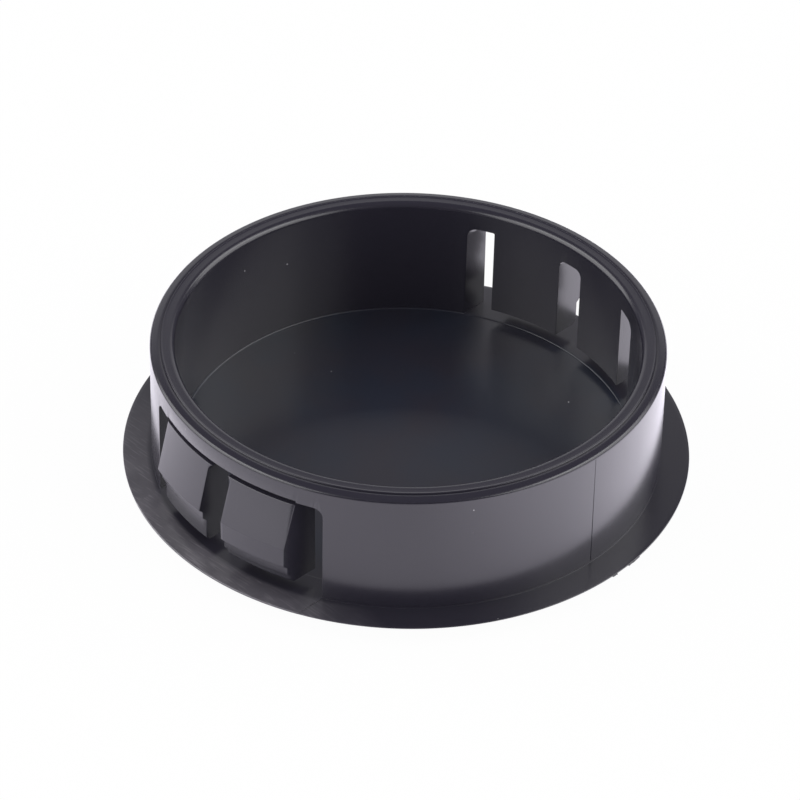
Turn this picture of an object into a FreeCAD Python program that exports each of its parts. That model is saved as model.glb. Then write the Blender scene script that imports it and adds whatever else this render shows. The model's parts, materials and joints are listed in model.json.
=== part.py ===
import FreeCAD, Part
import math
import os
from FreeCAD import Vector as V

os.makedirs("parts", exist_ok=True)

# Snap-in hole plug, moulded in one piece, lying on its head.
# Origin: centre of the outer face of the head.  +Z: from the head to the open rim.

# Head
head_lip = 2.5          # head beyond the body, all round
edge_thk = 0.35         # thin edge that seals on the panel
edge_round = 0.22       # softened upper corner of that edge
head_thk = 1.6          # head at its middle, up to the seating face
face_dia = 26.0         # flat middle of the outer face, the rest is domed
gate_out = 0.15         # broken gates on the edge, how far they stand out
gates = [(276.8, 1.5),  # angle from +X in degrees, width
         (270.9, 0.5)]

# Snap body
body_dia = 44.2         # for a 44.5 mm hole
wall = 2.15             # body wall at the rim
body_len = 11.48        # seating face to the top of the outer rounding
draft = 0.1             # inside radius lost between rim and floor
floor_rise = 0.01       # cup floor over the seating face
floor_round = 0.12      # round where floor meets wall
rim_round = 0.72        # outer rounding of the rim
rim_step = 0.1          # flat land of the rim over that rounding
land_w = 0.86           # width of that land
lip_round = 0.35        # inner rounding of the rim

# Windows at +X and -X, each with two tongues
band_h = 2.03           # solid band between the windows and the rim
window_w = 20.0         # window, across
thick_at = 1.15         # tongue for thick panels, inner side from the middle
thin_at = 1.45          # tongue for thin panels, inner side from the middle
tongue_at = 7.75        # outer side of both tongues from the middle
mid_low = 0.15          # top of the slot between the tongues under the top of the window
mid_round = 0.7         # its top corners
side_round = 0.85       # top corner of each side slot, away from the tongue
pad_w = 20.1            # pad that the side slide leaves on the head, width
pad_h = 0.07            # and height, flush with the window floor

# Tongues
tip_out = 1.2           # ridge of a tongue, outside the body
step_in = 0.41          # grip step, radial
step_drop = 0.35        # grip step, slope height
step_land = 0.7         # upright face between two grip steps
foot_gap = 1.03         # free gap under the feet
low_long = 1.9          # lowest upright face, tongue for thick panels
low_short = 0.45        # the same, tongue for thin panels
nose_h = 1.8            # upright nose of the tongue for thin panels
ramp_low = 0.24         # top of a ramp under the top of the window
notch_h = 0.44          # notch over the ramps, height
notch_d = 0.5           # and depth

r_body = body_dia / 2
r_edge = r_body + head_lip
r_in = r_body - wall
z_floor = head_thk + floor_rise
z_round = head_thk + body_len
z_top = z_round + rim_step
z_win = z_round - band_h
z_sill = head_thk + pad_h
z_foot = z_sill + foot_gap
z_ramp = z_win - ramp_low
y_win = window_w / 2
far = 2 * r_edge


def pt(r, z):
    return V(r, 0, z)


def line(a, b):
    return Part.makeLine(pt(*a), pt(*b))


def quarter(center, radius, start):
    """Quarter round in the XZ plane, from the angle start on by 90 degrees."""
    ends = [V(center[0] + radius * math.cos(math.radians(start + k)), 0,
              center[1] + radius * math.sin(math.radians(start + k))) for k in (0, 45, 90)]
    return Part.Arc(*ends).toShape()


def turned(edges):
    face = Part.Face(Part.Wire(Part.__sortEdges__(edges)))
    return face.revolve(V(0, 0, 0), V(0, 0, 1), 360)


def ring(points):
    edges = [line(a, b) for a, b in zip(points, points[1:] + points[:1])]
    return turned(edges)


def cup():
    """Head and body turned from one section."""
    z_edge = head_thk - edge_thk
    flat = face_dia / 2
    dome = ((r_edge - flat) ** 2 + z_edge ** 2) / (2 * z_edge)
    half = math.asin((r_edge - flat) / dome) / 2
    mid = (flat + dome * math.sin(half), dome * (1 - math.cos(half)))
    land = min(r_in + lip_round + land_w, r_body - rim_round - rim_step / 2)
    r_low = r_in - draft
    edges = [
        line((0, 0), (flat, 0)),
        Part.Arc(pt(flat, 0), pt(*mid), pt(r_edge, z_edge)).toShape(),
        line((r_edge, z_edge), (r_edge, head_thk - edge_round)),
        quarter((r_edge - edge_round, head_thk - edge_round), edge_round, 0),
        line((r_edge - edge_round, head_thk), (r_body, head_thk)),
        line((r_body, head_thk), (r_body, z_round - rim_round)),
        quarter((r_body - rim_round, z_round - rim_round), rim_round, 0),
        line((r_body - rim_round, z_round), (land, z_round)),
        line((land, z_round), (land, z_top)),
        line((land, z_top), (r_in + lip_round, z_top)),
        quarter((r_in + lip_round, z_top - lip_round), lip_round, 90),
        line((r_in, z_top - lip_round), (r_low, z_floor + floor_round)),
        quarter((r_low - floor_round, z_floor + floor_round), floor_round, 270),
        line((r_low - floor_round, z_floor), (0, z_floor)),
        line((0, z_floor), (0, 0)),
    ]
    return turned(edges)


def tongue_section(low, nose):
    """Outline of a tongue from its foot up: two grip steps, nose, ramp."""
    r_tip = r_body + tip_out
    z = [z_foot, z_foot + step_drop]
    for rise in (low, step_drop, step_land, step_drop, nose):
        z.append(z[-1] + rise)
    pts = [(r_body - wall / 2, z[0]), (r_tip - 3 * step_in, z[0]), (r_tip - 2 * step_in, z[1]),
           (r_tip - 2 * step_in, z[2]), (r_tip - step_in, z[3]), (r_tip - step_in, z[4]),
           (r_tip, z[5])]
    if nose > 0:
        pts.append((r_tip, z[6]))
    pts += [(r_body, z_ramp), (r_body - wall / 2, z_ramp)]
    return pts


def block(x0, x1, y0, y1, z0, z1):
    return Part.makeBox(x1 - x0, y1 - y0, z1 - z0, V(x0, y0, z0))


def slot(y0, y1, top, round0, round1):
    """Slot through the wall at +X, its top corners at y0 and y1 rounded."""
    body = block(r_in / 2, far, y0, y1, z_sill, top)
    for y, radius in ((y0, round0), (y1, round1)):
        if radius > 0:
            corner = [e for e in body.Edges
                      if abs(e.BoundBox.ZMin - top) < 1e-6 and abs(e.BoundBox.YMin - y) < 1e-6
                      and abs(e.BoundBox.YMax - y) < 1e-6]
            body = body.makeFillet(min(radius, 0.45 * (y1 - y0)), corner)
    return body


def mirrored(shape):
    return shape.mirror(V(0, 0, 0), V(1, 0, 0))


def both(shape):
    return [shape, mirrored(shape)]


# Pad that the side slide leaves on the head. It starts inside the head.
z_soft = z_sill - edge_round
z_start = 0.8 * head_thk
pad = turned([line((r_in, z_start), (r_edge, z_start)),
              line((r_edge, z_start), (r_edge, z_soft)),
              quarter((r_edge - edge_round, z_soft), edge_round, 0),
              line((r_edge - edge_round, z_sill), (r_in, z_sill)),
              line((r_in, z_sill), (r_in, z_start))]).common(
    block(0, far, -pad_w / 2, pad_w / 2, 0, far))

# Tongues: the long-stepped one at +Y, the one with the nose at -Y, mirrored to -X.
thick = ring(tongue_section(low_long, 0)).common(
    block(0, far, thick_at - mid_round, tongue_at, z_foot, z_win))
thin = ring(tongue_section(low_short, nose_h)).common(
    block(0, far, -tongue_at, mid_round - thin_at, z_foot, z_win))

# Cutters of one window.
slots = [slot(tongue_at, y_win, z_win, 0, side_round),
         slot(-thin_at, thick_at, z_win - mid_low, mid_round, mid_round),
         slot(-y_win, -tongue_at, z_win, side_round, 0)]
under_feet = block(r_in / 2, far, -y_win, y_win, z_sill, z_foot)
notch = ring([(r_body - notch_d, z_ramp), (far, z_ramp),
              (far, z_ramp + notch_h), (r_body - notch_d, z_ramp + notch_h)]).common(
    block(0, far, -tongue_at, tongue_at, 0, far))


def gate(turn, width):
    """Stub that a gate leaves on the edge of the head, its outer corners rounded."""
    stub = block(r_edge - 1, r_edge + gate_out, -width / 2, width / 2,
                 head_thk - edge_thk + 0.05, head_thk - edge_round + 0.1)
    outer = [e for e in stub.Edges
             if e.BoundBox.XMin > r_edge and e.BoundBox.ZLength > 0.1]
    stub = stub.makeFillet(gate_out * 0.9, outer)
    stub.rotate(V(0, 0, 0), V(0, 0, 1), turn)
    return stub


plug = cup().multiFuse(both(pad) + both(thick) + both(thin) + [gate(*g) for g in gates])
for cutter in slots + [under_feet, notch]:
    for tool in both(cutter):
        plug = plug.cut(tool)
plug = plug.removeSplitter()
if plug.ShapeType != "Solid":
    plug = plug.Solids[0] if len(plug.Solids) == 1 else plug

print("solids", len(plug.Solids), "valid", plug.isValid(), "volume", round(plug.Volume, 1))
print("across", 2 * r_edge, "over the seating face", round(z_top - head_thk, 2))
plug.exportStep("parts/hole_plug.step")
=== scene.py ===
# %% [markdown]
# # Snap-in hole plug in black nylon
# The plug closes a drilled hole in a sheet panel. It is one moulding: a thin round flange, a cup-shaped
# body, and four springy tongues in two windows of the wall. It lies on its head with the open side up.
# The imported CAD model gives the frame, in metres, and this script makes the fine visual model of it.

# %% Load the frame
import json
import math
import random
import bmesh
import bpy
from mathutils import Matrix, Vector

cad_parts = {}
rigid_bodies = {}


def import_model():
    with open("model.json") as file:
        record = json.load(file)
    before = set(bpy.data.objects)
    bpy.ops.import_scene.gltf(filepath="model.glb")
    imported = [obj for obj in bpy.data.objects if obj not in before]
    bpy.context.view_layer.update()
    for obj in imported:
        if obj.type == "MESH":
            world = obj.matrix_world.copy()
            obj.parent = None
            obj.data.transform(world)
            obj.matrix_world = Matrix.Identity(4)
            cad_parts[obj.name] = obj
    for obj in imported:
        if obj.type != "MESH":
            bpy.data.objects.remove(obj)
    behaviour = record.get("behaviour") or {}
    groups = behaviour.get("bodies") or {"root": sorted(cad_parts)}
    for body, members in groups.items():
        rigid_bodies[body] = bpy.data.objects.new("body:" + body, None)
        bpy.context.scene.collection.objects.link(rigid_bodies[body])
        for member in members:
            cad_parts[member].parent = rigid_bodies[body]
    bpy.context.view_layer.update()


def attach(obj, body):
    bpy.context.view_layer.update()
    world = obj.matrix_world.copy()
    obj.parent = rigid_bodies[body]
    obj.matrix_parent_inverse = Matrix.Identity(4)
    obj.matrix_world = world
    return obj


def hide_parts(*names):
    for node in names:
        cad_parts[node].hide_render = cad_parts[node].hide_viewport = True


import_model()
MM = 0.001

# %% [markdown]
# ## Camera
# The photograph was taken with a long lens from 38 degrees above the table. A long lens hardly makes the
# far side of the plug smaller, so the distance is large and the angle of view is narrow. The values come
# from fitting the flange, the rim and the floor circle. The camera leans by about one degree, so its axes
# are written as a matrix, which holds every small turn without guessing an order of rotations.

# %% Camera
CAMERA = {"distance": 388.3, "height_angle": 37.585, "turn": -45.2, "lean": 1.18,
          "aim_x": -0.626, "aim_z": 6.43, "lens": 202.5}


def camera_matrix(c):
    """Place of the camera, its right side, its up side and its back, in the frame of the plug."""
    rise, lean = math.radians(c["height_angle"]), math.radians(c["lean"])
    place = Vector((c["aim_x"], -c["distance"] * math.cos(rise),
                    c["aim_z"] + c["distance"] * math.sin(rise))) * MM
    ahead = Vector((0, math.cos(rise), -math.sin(rise)))
    side, up = Vector((1, 0, 0)), Vector((0, math.sin(rise), math.cos(rise)))
    right = math.cos(lean) * side + math.sin(lean) * up
    above = math.cos(lean) * up - math.sin(lean) * side
    axes = Matrix((right, above, -ahead)).transposed().to_4x4()
    return Matrix.Rotation(math.radians(c["turn"]), 4, "Z") @ Matrix.Translation(place) @ axes


camera_data = bpy.data.cameras.new("Camera")
camera_data.lens, camera_data.sensor_width = CAMERA["lens"], 36.0
camera_data.clip_start, camera_data.clip_end = 0.01, 10.0
camera = bpy.data.objects.new("Camera", camera_data)
bpy.context.scene.collection.objects.link(camera)
camera.matrix_world = camera_matrix(CAMERA)
bpy.context.scene.camera = camera
print("camera at", [round(v / MM, 1) for v in camera.matrix_world.translation], "mm")

# %% [markdown]
# ## Sizes of the moulding
# Each size is named once, in millimetres, as a maker would read it off a drawing. Radii are measured from
# the axis of the plug and heights from the outer face of the head, which is the origin. A turned model
# needs enough columns that its outline looks round from close by: 336 make them 0.41 mm wide.

# %% Sizes
R_EDGE, R_BODY, R_IN = 24.599, 22.1, 19.95      # tip of the flange, outside and inside of the wall
FACE_FLAT, LAND_OUT = 13.0, 21.16               # flat middle of the outer face, outer edge of the land
Z_EDGE, Z_SEAT, Z_FLOOR = 1.25, 1.6, 1.61       # where the dome ends, seating face, cup floor
Z_ARC, Z_ROUND = 12.6, 13.02                    # where the wall turns over, inner end of the cone
Z_LAND, Z_TOP = 13.08, 13.11                    # land of the rim, ridge along it
TIP_ROUND, ROOT_ROUND = 0.06, 0.02              # tip of the flange, corner between flange and wall
RIM_ROUND, LIP_ROUND, FLOOR_ROUND = 0.36, 0.5, 0.12     # outside and inside of the rim, cup floor
DRAFT = 0.1                                     # the cup narrows by this much down to its floor
Z_PAD, Z_FOOT, Z_WIN = 1.67, 2.7, 11.05         # pad on the head, feet of the tongues, top of the window
Z_RAMP, Z_MID, Z_NOTCH = 10.81, 10.9, 11.25     # tops of the ramps, the middle slot and the notch
Y_SHARP, Y_BLUNT, Y_TONGUE = 1.15, 1.45, 7.75   # inner sides of the two tongues, outer side of both
Y_WIN, Y_PAD = 10.0, 10.05                      # half of the window, half of the pad
STEPS = 336
COLUMN = 360 / STEPS                            # degrees
print("columns are", round(math.radians(COLUMN) * R_BODY, 2), "mm wide")

# %% [markdown]
# ## How a turned section is drawn
# Most of the plug is round, so its section is drawn once as a chain of edges and spun about the axis. In
# Blender the chain can start from a plane merged to one point, whose vertex is extruded from corner to
# corner. Round corners need many short edges and flat faces need few, so a small function gives the
# points of an arc. Operators work on whatever is selected, so other functions set the selection first.


# %% Helpers for sections
def arc(cx, cz, radius, start, end, parts):
    """Points of an arc in the section, from angle start to end in degrees."""
    turns = [start + (end - start) * k / parts for k in range(parts + 1)]
    return [(cx + radius * math.cos(math.radians(t)), cz + radius * math.sin(math.radians(t)))
            for t in turns]


def only(*objs):
    """Make these objects the selection, the last one active. With none, nothing is selected."""
    for o in bpy.context.view_layer.objects:
        o.select_set(o in objs)
    if objs:
        bpy.context.view_layer.objects.active = objs[-1]


def edit_all(o):
    """Open a piece in edit mode with all of it selected."""
    only(o)
    bpy.ops.object.mode_set(mode="EDIT")
    bpy.ops.mesh.select_all(action="SELECT")


def pick(o, kind, test):
    """In edit mode, select only the points, edges or faces (kind) that pass a test."""
    bpy.ops.mesh.select_mode(type={"verts": "VERT", "edges": "EDGE", "faces": "FACE"}[kind])
    bpy.ops.mesh.select_all(action="DESELECT")
    mesh = bmesh.from_edit_mesh(o.data)
    mesh.verts.index_update()
    chosen = [part for part in getattr(mesh, kind) if test(part)]
    for part in chosen:
        part.select_set(True)
    mesh.select_flush_mode()
    bmesh.update_edit_mesh(o.data)
    return len(chosen)


# %% Helpers that draw and turn a section
def chain(name, points, at=lambda a, b: (a, 0, b)):
    """A closed chain of edges through points in mm. at turns a pair of numbers into a place."""
    places = [Vector(at(*p)) * MM for p in points]
    only()
    bpy.ops.mesh.primitive_plane_add(size=MM, location=places[0])
    o = bpy.context.active_object
    o.name = name
    bpy.ops.object.transform_apply(location=True)
    edit_all(o)
    bpy.ops.mesh.merge(type="CENTER")
    for a, b in zip(places, places[1:]):
        bpy.ops.mesh.extrude_region_move(TRANSFORM_OT_translate={"value": b - a})
    pick(o, "verts", lambda v: v.index in (0, len(points) - 1))
    bpy.ops.mesh.edge_face_add()
    bpy.ops.object.mode_set(mode="OBJECT")
    return o


def count(o):
    return f"{o.name}: {len(o.data.vertices)} points, {len(o.data.polygons)} faces"


def turn(o, steps, angle=360.0, start=0.0):
    """Spin the chain about the axis, close it and point its faces outwards."""
    edit_all(o)
    if start:
        bpy.ops.transform.rotate(value=-math.radians(start), orient_axis="Z",
                                 center_override=(0, 0, 0))
    if angle < 360:
        bpy.ops.mesh.edge_face_add()
    bpy.ops.mesh.spin(steps=steps, angle=-math.radians(angle), center=(0, 0, 0), axis=(0, 0, 1),
                      use_auto_merge=True)
    bpy.ops.mesh.select_all(action="SELECT")
    bpy.ops.mesh.remove_doubles(threshold=0.0005 * MM)
    bpy.ops.mesh.normals_make_consistent(inside=False)
    bpy.ops.object.mode_set(mode="OBJECT")
    print(count(o))
    return o


# %% [markdown]
# ## Head
# The head is a thin saucer. Its outer face is flat in the middle and domed around, and its edge thins out
# like a blade, so that it bends and seals on the panel. The dome is one large arc, worked out from the
# height it has to gain. The tip gets a tiny rounding, because it draws the fine light line round the plug.

# %% Section of the head
DOME_END = R_EDGE - 0.6                 # from here the outer face turns up to the tip
dome = ((R_EDGE - FACE_FLAT) ** 2 + Z_EDGE ** 2) / (2 * Z_EDGE)
dome_angle = math.degrees(math.asin((DOME_END - FACE_FLAT) / dome))
head = [(0, 0), (4, 0), (8, 0)]
head += arc(FACE_FLAT, dome, dome, 270, 270 + dome_angle, 12)
head += [(R_EDGE - 0.04, Z_SEAT - 0.13), (R_EDGE, Z_SEAT - 0.09)]      # underside of the tip
head += arc(R_EDGE - TIP_ROUND, Z_SEAT - TIP_ROUND, TIP_ROUND, 0, 90, 4)
head += [(24.2, Z_SEAT), (23.4, Z_SEAT), (R_BODY + ROOT_ROUND + 0.05, Z_SEAT)]
head += arc(R_BODY + ROOT_ROUND, Z_SEAT + ROOT_ROUND, ROOT_ROUND, 270, 180, 4)
print("radius of the dome", round(dome, 1), "mm")

# %% [markdown]
# ## Rim
# The rim looks plain, but close up the photograph shows five bands. The wall turns over in a small arc
# that carries a fine groove. A shallow cone runs inwards from it to a channel, where two parts of the
# mould meet, and a small ridge stands over the channel. Then comes the flat land. Each band catches other
# light, so all are drawn, as it is cheap in a section and no texture would give the same fine lines.

# %% Section of the rim
GROOVE, CHANNEL, RIDGE = 0.035, 0.05, 0.05      # depth of the groove and the channel, round of the ridge
CONE_IN = 0.08                                  # from the land to the inner end of the cone
rim = [(R_BODY, Z_SEAT + 0.2), (R_BODY, Z_ARC - 0.15), (R_BODY, Z_ARC - 0.03)]
for size, start, end, parts in ((RIM_ROUND, 4, 22, 3), (RIM_ROUND - GROOVE, 25, 31, 1),
                                (RIM_ROUND, 34, 64, 5)):
    rim += arc(R_BODY - RIM_ROUND, Z_ARC, size, start, end, parts)
r_arc, z_arc = rim[-1]
for k in (0.85, 0.7, 0.4, 0.1):
    rim += [(LAND_OUT + CONE_IN + k * (r_arc - LAND_OUT - CONE_IN),
             Z_ROUND - (Z_ROUND - z_arc) * k ** 1.3)]
rim += [(LAND_OUT + 0.05, Z_ROUND - CHANNEL), (LAND_OUT + 0.01, Z_ROUND - CHANNEL)]
rim += arc(LAND_OUT - RIDGE, Z_TOP - RIDGE, RIDGE, 0, 90, 5)
rim += [(LAND_OUT - 0.09, Z_TOP - 0.006), (LAND_OUT - 0.14, Z_LAND + 0.003), (LAND_OUT - 0.2, Z_LAND)]
print("the cone is", round(r_arc - LAND_OUT, 2), "mm wide")

# %% [markdown]
# ## Cup
# From the land a soft lip leads into the cup, which narrows a little towards its floor so that it leaves
# the mould. An extra point just beyond each rounding holds the shading of the flat face next to it flat.
# The three sections then join into one, and one spin makes the head, the wall and the floor.

# %% Cup and flange
HOLD = 0.08                             # from a rounding to the extra point on the flat face
r_low = R_IN - DRAFT
cup = [(R_IN + LIP_ROUND + 0.06, Z_LAND)]
cup += arc(R_IN + LIP_ROUND, Z_LAND - LIP_ROUND, LIP_ROUND, 90, 180, 11)
cup += [(R_IN, Z_LAND - LIP_ROUND - HOLD), (r_low, Z_FLOOR + FLOOR_ROUND + HOLD)]
cup += arc(r_low - FLOOR_ROUND, Z_FLOOR + FLOOR_ROUND, FLOOR_ROUND, 0, -90, 6)
cup += [(r_low - FLOOR_ROUND - HOLD, Z_FLOOR), (16, Z_FLOOR), (8, Z_FLOOR), (0, Z_FLOOR)]
plug = turn(chain("NylonPlug", head + rim + cup), STEPS)

# %% [markdown]
# ## Tongues
# Each window holds two tongues. From the rim side a ramp runs outwards, so that the plug can be pushed
# in. The ramp ends on a ridge, and under it two steps let the tongue catch on panels of different
# thickness: the tongue at +Y ends in a sharp ridge and has a long lower face, the tongue at -Y has an
# upright nose. The sections reach into the wall and under the feet, so that the parts join without a
# seam and the window can trim the feet later.

# %% Tongue sections
R_BACK, Z_BACK = 21.3, 2.5              # inside the wall, and under the feet
RAMP_FOOT = 21.9                        # the ramps go on into the wall, so that they end cleanly


def tongue_section(ridge):
    """Section of a tongue in mm: back, foot, first step, ridge, and the ramp up to the notch."""
    r, z = ridge[-1]
    rise = (Z_RAMP - z) / (r - R_BODY) * (r - RAMP_FOOT)
    return ([(R_BACK, Z_BACK), (22.12, Z_BACK), (22.12, 2.72), (22.48, 3.05)] + ridge
            + [(RAMP_FOOT, z + rise), (R_BACK, z + rise)])


SHARP = tongue_section([(22.48, 4.95), (22.89, 5.3), (22.89, 6.0), (23.3, 6.35)])
BLUNT = tongue_section([(22.48, 3.5), (22.89, 3.85), (22.89, 4.55), (23.3, 4.9), (23.3, 6.7)])
print("tongues stand out", round(max(r for r, z in SHARP) - R_BODY, 2), "mm")


# %% [markdown]
# ## Cutting and joining
# The tongues and the openings need flat cuts. An edit-mode bisect trims a loose piece, and the Boolean
# modifier joins pieces or cuts one with another. Its exact solver is slow but closes every seam, as long
# as no two faces lie in one plane. So the tools below reach a hair past the faces they meet.

# %% Helpers that trim and combine
def trim(o, place, normal):
    """Cut off what lies beyond the plane, on the side its normal points to, and close the cut."""
    edit_all(o)
    bpy.ops.mesh.bisect(plane_co=Vector(place) * MM, plane_no=normal, use_fill=True,
                        clear_outer=True, threshold=1e-7)
    bpy.ops.object.mode_set(mode="OBJECT")


def combine(o, tool, how):
    """UNION or DIFFERENCE of a piece with a tool, which is used up."""
    only(o)
    m = o.modifiers.new("Combine", "BOOLEAN")
    m.operation, m.solver, m.object = how, "EXACT", tool
    bpy.ops.object.modifier_apply(modifier=m.name)
    bpy.data.objects.remove(tool)
    print(how.lower(), count(o))


# %% [markdown]
# ## Tongues on the wall
# A tongue is a piece of a ring, so its section is turned through the few degrees it needs. It is a little
# wider than in reality towards the middle, because the middle slot will trim both tongues flush. Only
# their outer sides are cut here.

# %% Tongues on the wall
TONGUE_STEPS = 20                       # columns of a tongue, which starts one column off the middle


def tongue(name, section, side):
    """A tongue at +Y (side 1) or -Y (side -1) of the +X window."""
    start = COLUMN if side > 0 else -(1 + TONGUE_STEPS) * COLUMN
    o = turn(chain(name, section), TONGUE_STEPS, TONGUE_STEPS * COLUMN, start)
    trim(o, (0, side * Y_TONGUE, 0), (0, side, 0))
    return o


combine(plug, tongue("SharpTongue", SHARP, 1), "UNION")
combine(plug, tongue("BluntTongue", BLUNT, -1), "UNION")

# %% [markdown]
# ## Notch
# Over the ramps the wall has a shallow notch, left by the slide that shapes the window. It shows as a dark
# line above each tongue. It follows the wall, so the cutter is a piece of a ring too. The cut leaves some
# points almost on top of each other, and merging them keeps the next cuts clean.

# %% Notch over the ramps
WELD = 0.002                            # points nearer than this are one point
NOTCH_DEEP, OVERLAP = 0.5, 0.013        # the notch goes a hair into the ramps


def ring_piece(name, section, half, reach):
    """A piece of a ring around the +X side, some columns each way, trimmed at y = half and -half."""
    o = turn(chain(name, section), 2 * reach, 2 * reach * COLUMN, -reach * COLUMN)
    trim(o, (0, half, 0), (0, 1, 0))
    trim(o, (0, -half, 0), (0, -1, 0))
    return o


notch = [(R_BODY - NOTCH_DEEP, Z_RAMP - OVERLAP), (25, Z_RAMP - OVERLAP),
         (25, Z_NOTCH), (R_BODY - NOTCH_DEEP, Z_NOTCH)]
combine(plug, ring_piece("Notch", notch, Y_TONGUE + 0.05, 24), "DIFFERENCE")
edit_all(plug)
bpy.ops.mesh.remove_doubles(threshold=WELD * MM)
bpy.ops.object.mode_set(mode="OBJECT")

# %% [markdown]
# ## Window
# Three slots and a free gap under the feet let each tongue hang from the rim like a spring. They could be
# cut one by one, but seen along X the whole opening is one comb-shaped outline. So one plate with that
# outline cuts everything at once, and all faces end up flush, as from the one slide of the real mould.


# %% Window
def slot_top(y0, y1, top, round0, round1):
    """Outline of the top of a slot from y1 back to y0, with a rounding at each of its corners."""
    return (arc(y1 - round1, top - round1, round1, 0, 90, 8)
            + arc(y0 + round0, top - round0, round0, 90, 180, 8))


SIDE_ROUND, TONGUE_ROUND, MID_ROUND = 0.85, 0.12, 0.7   # top corners of the side and middle slots
y_out = Y_TONGUE - 0.01                 # trims a hair off the tongues, so that no faces coincide
comb = [(-Y_WIN, Z_PAD - 0.02), (Y_WIN, Z_PAD - 0.02)]
comb += slot_top(y_out, Y_WIN, Z_WIN, TONGUE_ROUND, SIDE_ROUND)
comb += [(y_out, Z_FOOT), (Y_SHARP, Z_FOOT)] + slot_top(-Y_BLUNT, Y_SHARP, Z_MID, MID_ROUND, MID_ROUND)
comb += [(-Y_BLUNT, Z_FOOT), (-y_out, Z_FOOT)]
comb += slot_top(-Y_WIN, -y_out, Z_WIN, SIDE_ROUND, TONGUE_ROUND)
plate = chain("Window", comb, at=lambda y, z: (14, y, z))
edit_all(plate)
bpy.ops.mesh.edge_face_add()
bpy.ops.mesh.extrude_region_move(TRANSFORM_OT_translate={"value": (12 * MM, 0, 0)})
bpy.ops.mesh.select_all(action="SELECT")
bpy.ops.mesh.normals_make_consistent(inside=False)
bpy.ops.object.mode_set(mode="OBJECT")
combine(plug, plate, "DIFFERENCE")

# %% [markdown]
# ## Pad
# Where the slide of the mould ran over the flange it left a pad, 0.07 mm high. In the photograph its end is
# the fine slanting line beside the window. A real step gives that line from every side, so the pad is
# a ring piece joined to the head, flush with the floor of the window.

# %% Pad on the head
PAD_ROUND = 0.08
r_pad = R_IN - DRAFT + 0.03             # a hair outside the wall of the cup
pad = [(r_pad, 1.5), (R_EDGE, 1.5)]
pad += arc(R_EDGE - PAD_ROUND, Z_PAD - PAD_ROUND, PAD_ROUND, 0, 90, 7)
pad += [(24.3, Z_PAD), (r_pad, Z_PAD)]
combine(plug, ring_piece("Pad", pad, Y_PAD - 0.02, 26), "UNION")

# %% [markdown]
# ## Soft edges
# A mould can't make a perfectly sharp edge, and the thin bright lines along the tongues in the photograph
# come from edges rounded by some hundredths of a millimetre. The sharp edges of the window are found by
# their angle and place, and the Bevel operator rounds them all in one go.


# %% Soft edges
def sharp_window_edge(e):
    if len(e.link_faces) != 2 or e.calc_face_angle(0) < math.radians(12):
        return False
    middle = (e.verts[0].co + e.verts[1].co) / 2 / MM
    around = math.hypot(middle.x, middle.y) > 19.7 and middle.x > 0 and abs(middle.y) < 10.3
    return around and Z_PAD + 0.05 <= middle.z < 11.4


edit_all(plug)
bpy.ops.mesh.remove_doubles(threshold=0.003 * MM)
print("edges to round", pick(plug, "edges", sharp_window_edge))
bpy.ops.mesh.bevel(offset=0.05 * MM, segments=2, profile=0.5, clamp_overlap=False)
bpy.ops.mesh.select_mode(type="VERT")
bpy.ops.mesh.select_all(action="SELECT")
bpy.ops.mesh.remove_doubles(threshold=WELD * MM)

# %% [markdown]
# ## Second window
# The plug is its own mirror image, so the window at -X isn't made again. The half at -X is deleted, and
# a Mirror modifier fills it with a copy of the half at +X and joins the two along the middle.

# %% Second window
pick(plug, "verts", lambda v: v.co.x < -WELD * MM)
bpy.ops.mesh.delete(type="VERT")
bpy.ops.object.mode_set(mode="OBJECT")
m = plug.modifiers.new("Mirror", "MIRROR")
m.merge_threshold = WELD * MM
bpy.ops.object.modifier_apply(modifier=m.name)
print(count(plug))

# %% [markdown]
# ## Parting lines
# The two halves of the mould meet in the plane x = 0 and leave a fine line down the wall on both sides.
# The mirrored mesh already has an edge there. It is divided, bevelled to a narrow strip, and the middle
# of the strip is pushed in by some hundredths of a millimetre, more in the lower part, where the line in
# the photograph is stronger.

# %% Parting lines
SEAM, SEAM_LOW, Z_SEAM_LOW = 0.045, 0.03, 8.5   # half width and depth, added depth, and below where


def on_seam(v):
    x, y, z = v.co / MM
    return abs(x) < WELD and abs(abs(y) - R_BODY) < 0.05 and 1.7 < z < Z_ARC


def seam_edge(e):
    return on_seam(e.verts[0]) and on_seam(e.verts[1])


edit_all(plug)
print("seam edges", pick(plug, "edges", seam_edge))
bpy.ops.mesh.subdivide(number_cuts=7)
pick(plug, "edges", seam_edge)
bpy.ops.mesh.bevel(offset=SEAM * MM, segments=2, profile=0.5)
print("points of the line", pick(plug, "verts", on_seam))
bpy.ops.transform.resize(value=(1, 1 - SEAM / R_BODY, 1), center_override=(0, 0, 0))
pick(plug, "verts", lambda v: on_seam(v) and v.co.z < Z_SEAM_LOW * MM)
bpy.ops.transform.resize(value=(1, 1 - SEAM_LOW / R_BODY, 1), center_override=(0, 0, 0))
bpy.ops.object.mode_set(mode="OBJECT")

# %% [markdown]
# ## Broken gates
# The nylon came in through two small gates at the edge of the flange. They were broken off by hand, so no
# two stubs are alike. Each is a short turned piece whose outer points are shifted a little at random, with
# a fixed seed, so that every run gives the same stubs.

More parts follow.
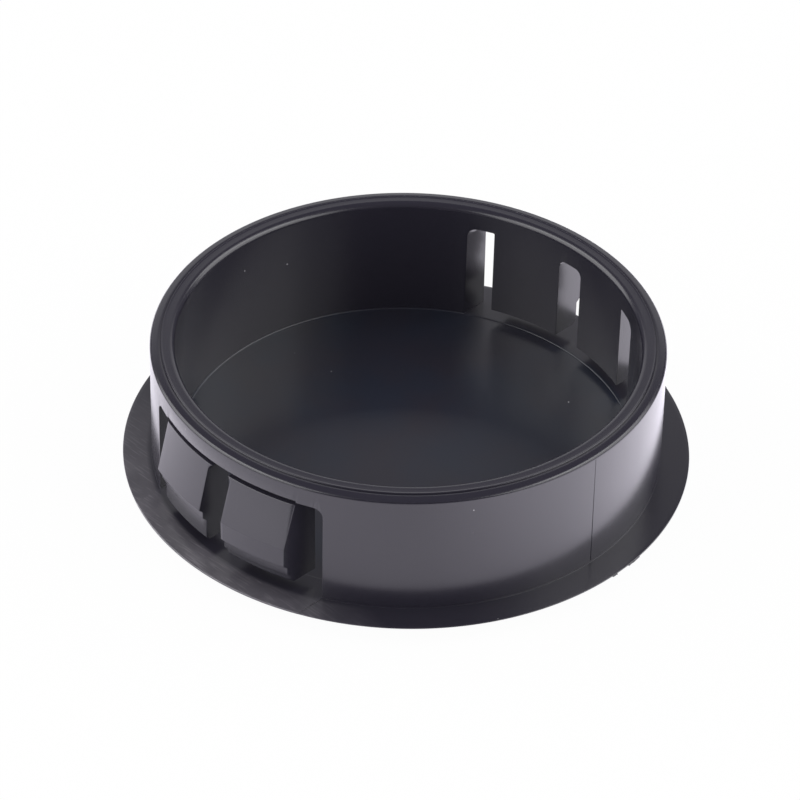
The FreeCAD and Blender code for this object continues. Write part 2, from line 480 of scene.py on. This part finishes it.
# %% Broken gates
GATES = {"WideGate": (276.8, 1.5), "NarrowGate": (270.9, 0.5)}      # bearing in degrees, width in mm
GATE_SECTION = [(24.3, 1.42), (24.68, 1.44), (24.72, 1.49), (24.66, 1.55), (24.3, 1.57)]
random.seed(4)
for name, (bearing, width) in GATES.items():
    half = math.degrees(width / 2 / R_EDGE)
    stub = turn(chain(name, GATE_SECTION), 6, 2 * half, bearing - half)
    for v in stub.data.vertices:
        if math.hypot(v.co.x, v.co.y) > 24.5 * MM:
            v.co.xy *= 1 - 0.003 * random.random()
            v.co.z += 0.025 * MM * (random.random() - 0.5)
    combine(plug, stub, "UNION")

# %% [markdown]
# ## Shading
# Round walls should shade smoothly and real corners should stay crisp. Smoothing by angle sorts the two,
# and weighted normals then let the large faces win over the narrow bevels beside them, so that flat faces
# look flat right up to their rounded edges.

# %% Shading
edit_all(plug)
bpy.ops.mesh.normals_make_consistent(inside=False)
bpy.ops.object.mode_set(mode="OBJECT")
bpy.ops.object.shade_smooth_by_angle(angle=math.radians(35))
m = plug.modifiers.new("Even shading", "WEIGHTED_NORMAL")
m.keep_sharp, m.weight = True, 50
bpy.ops.object.modifier_apply(modifier=m.name)
print(count(plug), "triangles", sum(len(f.vertices) - 2 for f in plug.data.polygons))

# %% [markdown]
# ## Material
# Injection-moulded nylon (PA66), coloured through with carbon black. The polished mould gives it a satin
# skin: nearly black straight on, bright where the white table is seen at a shallow angle. So the colour is
# nearly black and all light comes from the gloss, as two layers with the refraction of nylon. One function
# writes colours as a designer picks them, and one adds a node with its settings and links.


# %% Material helpers
def linear(hex_colour):
    """sRGB hex, such as 1A1A1C, to the linear RGBA that shaders use."""
    parts = [int(hex_colour[k:k + 2], 16) / 255 for k in (0, 2, 4)]
    return [p / 12.92 if p <= 0.04045 else ((p + 0.055) / 1.055) ** 2.4 for p in parts] + [1.0]


def node(tree, kind, settings=None, links=None):
    """Add a node. settings are its properties or, by number or name, the values of its sockets.
    links go from a socket, or from a node's first output."""
    n = tree.nodes.new(kind)
    for key, value in (settings or {}).items():
        if isinstance(key, int) or key in n.inputs:
            n.inputs[key].default_value = value
        else:
            setattr(n, key, value)
    for key, source in (links or {}).items():
        tree.links.new(source.outputs[0] if isinstance(source, bpy.types.Node) else source, n.inputs[key])
    return n


PRODUCT = {"operation": "MULTIPLY"}

# %% [markdown]
# ## Places on the moulding
# The skin isn't the same all over: the flange and the cup floor are duller than the walls, and only the
# flange is rubbed. Painted masks would need a UV map. The parts are round and flat, so height and radius,
# both from Object coordinates, tell them apart.

# %% Moulded black nylon: places
nylon = bpy.data.materials.new("MouldedBlackNylon")
nylon.use_nodes = True
t = nylon.node_tree
t.nodes.clear()
spot = node(t, "ShaderNodeTexCoord").outputs["Object"]
height = node(t, "ShaderNodeSeparateXYZ", {}, {0: spot}).outputs["Z"]
level = node(t, "ShaderNodeMapping", {"Scale": (1, 1, 0)}, {"Vector": spot})
radius = node(t, "ShaderNodeVectorMath", {"operation": "LENGTH"}, {0: level}).outputs["Value"]
low = node(t, "ShaderNodeMapRange", {"From Min": 1.70 * MM, "From Max": 1.80 * MM, "To Min": 1.0,
                                     "To Max": 0.0}, {"Value": height})
outer = node(t, "ShaderNodeMapRange", {"From Min": 22.2 * MM, "From Max": 22.6 * MM}, {"Value": radius})
inner = node(t, "ShaderNodeMapRange", {"From Min": 20.4 * MM, "From Max": 19.9 * MM}, {"Value": radius})
flange = node(t, "ShaderNodeMath", PRODUCT, {0: low, 1: outer})
cup_floor = node(t, "ShaderNodeMath", PRODUCT, {0: low, 1: inner})
print("masks by place:", len(t.nodes), "nodes")

# %% [markdown]
# ## Wear
# Plugs lie loose in a box and rub on each other, and the thin flange takes most of it. One side of it has
# gone grey, with fine scratches in one direction. The scratches are a noise 0.12 mm wide, stretched to
# some 2 mm; real ones are finer, and these are as coarse as they need to be to show. The dull film under
# them is broken up by patches of 3 mm, so that it has no clear edge.

# %% Moulded black nylon: wear
along = node(t, "ShaderNodeMapping", {"Rotation": (0, 0, math.radians(50)), "Scale": (1, 0.06, 1)},
             {"Vector": spot})
lines = node(t, "ShaderNodeTexNoise", {"Scale": 1 / (0.12 * MM), "Detail": 1.0}, {"Vector": along})
scratch = node(t, "ShaderNodeMapRange", {"From Min": 0.56, "From Max": 0.7, "To Min": 0.55}, {"Value": lines})
rubbed = node(t, "ShaderNodeVectorMath", {"operation": "DOT_PRODUCT", 1: (-0.95, 0.2, 0)}, {0: spot})
rubbed = node(t, "ShaderNodeMapRange", {"From Min": 14 * MM, "From Max": 23 * MM},
              {"Value": rubbed.outputs["Value"]})
film = node(t, "ShaderNodeTexNoise", {"Scale": 1 / (3.0 * MM), "Detail": 4.0}, {"Vector": spot})
film = node(t, "ShaderNodeMapRange", {"From Min": 0.3, "From Max": 0.7, "To Min": 0.6}, {"Value": film})
worn = flange
for layer in (rubbed, film, scratch):
    worn = node(t, "ShaderNodeMath", PRODUCT, {0: worn, 1: layer})
print("with wear:", len(t.nodes), "nodes")

# %% [markdown]
# ## Specks and colour
# A few pale specks of dust and nylon cling to the part. A Voronoi pattern puts one spot, 0.1 mm wide, in
# each cell of 2.6 mm, and the cell's own random colour keeps about half of them. The pattern fills space,
# so only the few spots that the surface happens to cut are seen. The nylon itself is a black with a trace
# of violet. On the cup floor a bluer colour is mixed in, in soft clouds, as a painted bluish reflection.

# %% Moulded black nylon: colour
cells = node(t, "ShaderNodeTexVoronoi", {"Scale": 1 / (2.6 * MM)}, {"Vector": spot})
lucky = node(t, "ShaderNodeSeparateColor", {}, {0: cells.outputs["Color"]})
lucky = node(t, "ShaderNodeMapRange", {"From Min": 0.5, "From Max": 0.54}, {"Value": lucky})
middle = node(t, "ShaderNodeMapRange", {"From Min": 0.03, "From Max": 0.016},
              {"Value": cells.outputs["Distance"]})
speck = node(t, "ShaderNodeMath", PRODUCT, {0: middle, 1: lucky})
# painted reflection: a bluer colour in soft clouds on the cup floor stands in for the bluish light it mirrors
painted_blue_tint = node(t, "ShaderNodeTexNoise", {"Scale": 1 / (7.0 * MM), "Detail": 2.0}, {"Vector": spot})
painted_blue_tint = node(t, "ShaderNodeMapRange", {"From Min": 0.35, "From Max": 0.65}, {"Value": painted_blue_tint})
painted_blue_tint = node(t, "ShaderNodeMath", PRODUCT, {0: cup_floor, 1: painted_blue_tint})
colour = node(t, "ShaderNodeMix", {"data_type": "RGBA", 6: linear("2A2832"), 7: linear("252936")},
              {0: painted_blue_tint}).outputs[2]
for share, tint in ((worn, "807C83"), (speck, "C4C2C8")):
    colour = node(t, "ShaderNodeMix", {"data_type": "RGBA", 7: linear(tint)},
                  {0: share, 6: colour}).outputs[2]
print("with specks and colour:", len(t.nodes), "nodes")

# %% [markdown]
# ## Gloss
# The walls are smoother than the head and not evenly polished, which shows as soft clouds in their
# highlights. The lower layer varies in patches of 4 mm for that. The coat is the thin resin-rich skin of
# the moulding. Its one even roughness adds a second reflection, so that the clouds never break a
# highlight up. A grain of 0.12 mm, as coarse as it needs to be to show, takes the mirror look off both.

# %% Moulded black nylon: gloss
cloud = node(t, "ShaderNodeTexNoise", {"Scale": 1 / (4.0 * MM), "Detail": 3.0}, {"Vector": spot})
wall = node(t, "ShaderNodeMapRange", {"From Min": 0.3, "From Max": 0.7, "To Min": 0.19, "To Max": 0.265},
            {"Value": cloud})
rough = node(t, "ShaderNodeMix", {3: 0.33}, {0: low, 2: wall})
grain = node(t, "ShaderNodeTexNoise", {"Scale": 1 / (0.12 * MM), "Detail": 2.0}, {"Vector": spot})
bump = node(t, "ShaderNodeBump", {"Strength": 0.5, "Distance": 0.000002}, {"Height": grain})
shader = node(t, "ShaderNodeBsdfPrincipled",
              {"IOR": 1.5, "Coat Weight": 1.0, "Coat Roughness": 0.24, "Coat IOR": 1.5},
              {"Base Color": colour, "Roughness": rough, "Normal": bump})
node(t, "ShaderNodeOutputMaterial", {}, {"Surface": shader})
plug.data.materials.clear()
plug.data.materials.append(nylon)
print(nylon.name, "has", len(t.nodes), "nodes")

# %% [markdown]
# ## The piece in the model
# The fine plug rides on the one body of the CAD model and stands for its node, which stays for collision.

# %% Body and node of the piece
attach(plug, "root")
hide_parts("hole_plug")

# %% [markdown]
# ## Table
# The plug lies on a white table, and its walls are mirrors for it. The table is plain white for the
# camera. In reflections it is a little bluish, and a painted glow, brighter to the right and the back as
# under a window, adds a painted pool of light that grades the wall from dark to light round the plug.
# It lies a hair under the plug, so that their faces don't share a plane.

# %% Table
# painted glow: emission that stands in for a pool of light on the table, seen only in reflections
PAINTED_GLOW = (("X", 0, 32, 0.15, 0.9),        # axis, from and to in mm, brightness at both; X is the camera's right
        ("X", -10, -44, 0.0, 0.12), ("Y", -24, 15, 0.0, 0.5))
only()
bpy.ops.mesh.primitive_circle_add(vertices=128, radius=0.11, fill_type="NGON", location=(0, 0, -0.02 * MM))
table = bpy.context.active_object
table.name = "Table"
white = bpy.data.materials.new("WhiteTable")
white.use_nodes = True
t = white.node_tree
t.nodes.clear()
spot = node(t, "ShaderNodeTexCoord").outputs["Object"]
seen_along = node(t, "ShaderNodeMapping", {"Rotation": (0, 0, -math.radians(CAMERA["turn"]))},
                  {"Vector": spot})
apart = node(t, "ShaderNodeSeparateXYZ", {}, {0: seen_along})
painted_glow = None
for axis, start, end, dark, bright in PAINTED_GLOW:
    slope = node(t, "ShaderNodeMapRange",
                 {"interpolation_type": "SMOOTHSTEP", "From Min": start * MM, "From Max": end * MM,
                  "To Min": dark, "To Max": bright}, {"Value": apart.outputs[axis]})
    painted_glow = slope if painted_glow is None else node(t, "ShaderNodeMath", {"operation": "ADD", "use_clamp": True},
                                           {0: painted_glow, 1: slope})

# %% White table: what each ray sees
matte = node(t, "ShaderNodeBsdfDiffuse", {"Color": linear("F2F2F2")})
bluish = node(t, "ShaderNodeBsdfDiffuse", {"Color": linear("DDD9E3")})
# painted pool of light: the table glows brighter to the right and the back for glossy rays
painted_light_pool = node(t, "ShaderNodeEmission", {"Color": linear("F4F0FC")}, {"Strength": painted_glow})
mirrored = node(t, "ShaderNodeAddShader", {}, {0: bluish, 1: painted_light_pool})
plain = node(t, "ShaderNodeEmission", {"Color": linear("FFFFFF"), "Strength": 1.0})
seen = node(t, "ShaderNodeMixShader", {0: 0.97}, {1: matte, 2: plain})
rays = node(t, "ShaderNodeLightPath")
mix = node(t, "ShaderNodeMixShader", {}, {0: rays.outputs["Is Glossy Ray"], 1: matte, 2: mirrored})
mix = node(t, "ShaderNodeMixShader", {}, {0: rays.outputs["Is Camera Ray"], 1: mix, 2: seen})
node(t, "ShaderNodeOutputMaterial", {}, {"Surface": mix})
table.data.materials.append(white)
print(white.name, "has", len(t.nodes), "nodes")

# %% [markdown]
# ## Room
# Over and behind the plug the room is dim, which keeps the flange and the cup floor dark. One plain world
# would tie the background, the light and the reflections together. Three backgrounds, mixed by the kind of
# ray, set them apart: white for the camera, dark in reflections, and an even grey as light.

# %% Room
world = bpy.data.worlds.new("Room")
bpy.context.scene.world = world
world.use_nodes = True
t = world.node_tree
t.nodes.clear()
dim, soft, clear = [node(t, "ShaderNodeBackground", {"Color": linear(c), "Strength": 1.0})
                    for c in ("4B4954", "B4B4B4", "FFFFFF")]
rays = node(t, "ShaderNodeLightPath")
mix = node(t, "ShaderNodeMixShader", {}, {0: rays.outputs["Is Glossy Ray"], 1: soft, 2: dim})
mix = node(t, "ShaderNodeMixShader", {}, {0: rays.outputs["Is Camera Ray"], 1: mix, 2: clear})
node(t, "ShaderNodeOutputWorld", {}, {"Surface": mix})
print(world.name, "has", len(t.nodes), "nodes")

# %% [markdown]
# ## Soft boxes
# Two large soft boxes at the left and right draw the highlights along the rim and grade the walls. Over
# each hangs a narrow one that lights the ramps and the lip, and a dim one behind stands for the pale
# wall that the flange mirrors. Each is placed by its bearing from the camera's right and its height, and
# its power follows from its size, so that a larger box isn't a brighter one.


# %% Soft boxes
def soft_box(name, bearing, height_angle, size, radiance, distance):
    """A soft box of a size in metres that faces the plug from a bearing and height, in degrees."""
    a, e = math.radians(bearing + CAMERA["turn"]), math.radians(height_angle)
    away = Vector((math.cos(a) * math.cos(e), math.sin(a) * math.cos(e), math.sin(e)))
    light = bpy.data.lights.new(name, "AREA")
    light.shape, light.size, light.size_y = "RECTANGLE", size[0], size[1]
    light.energy = math.pi * size[0] * size[1] * radiance
    o = bpy.data.objects.new(name, light)
    bpy.context.scene.collection.objects.link(o)
    o.matrix_world = Matrix.Translation(away * distance) @ away.to_track_quat("Z", "Y").to_matrix().to_4x4()
    o.visible_camera = False
    print(name, round(light.energy, 2), "W")


soft_box("SoftBoxLeft", 190, 22, (0.95, 0.56), 1.6, 0.55)
soft_box("SoftBoxLeftHigh", 176, 48, (0.6, 0.16), 1.4, 0.54)
soft_box("SoftBoxRight", -13, 20, (0.85, 0.5), 1.5, 0.55)
soft_box("SoftBoxRightHigh", 8, 46, (0.6, 0.18), 1.9, 0.54)
soft_box("BackWall", 92, 21, (0.6, 0.32), 0.45, 0.55)

# %% [markdown]
# ## View
# The Standard view shows each colour as it is written.

# %% View
bpy.context.scene.view_settings.view_transform = "Standard"
bpy.context.view_layer.update()
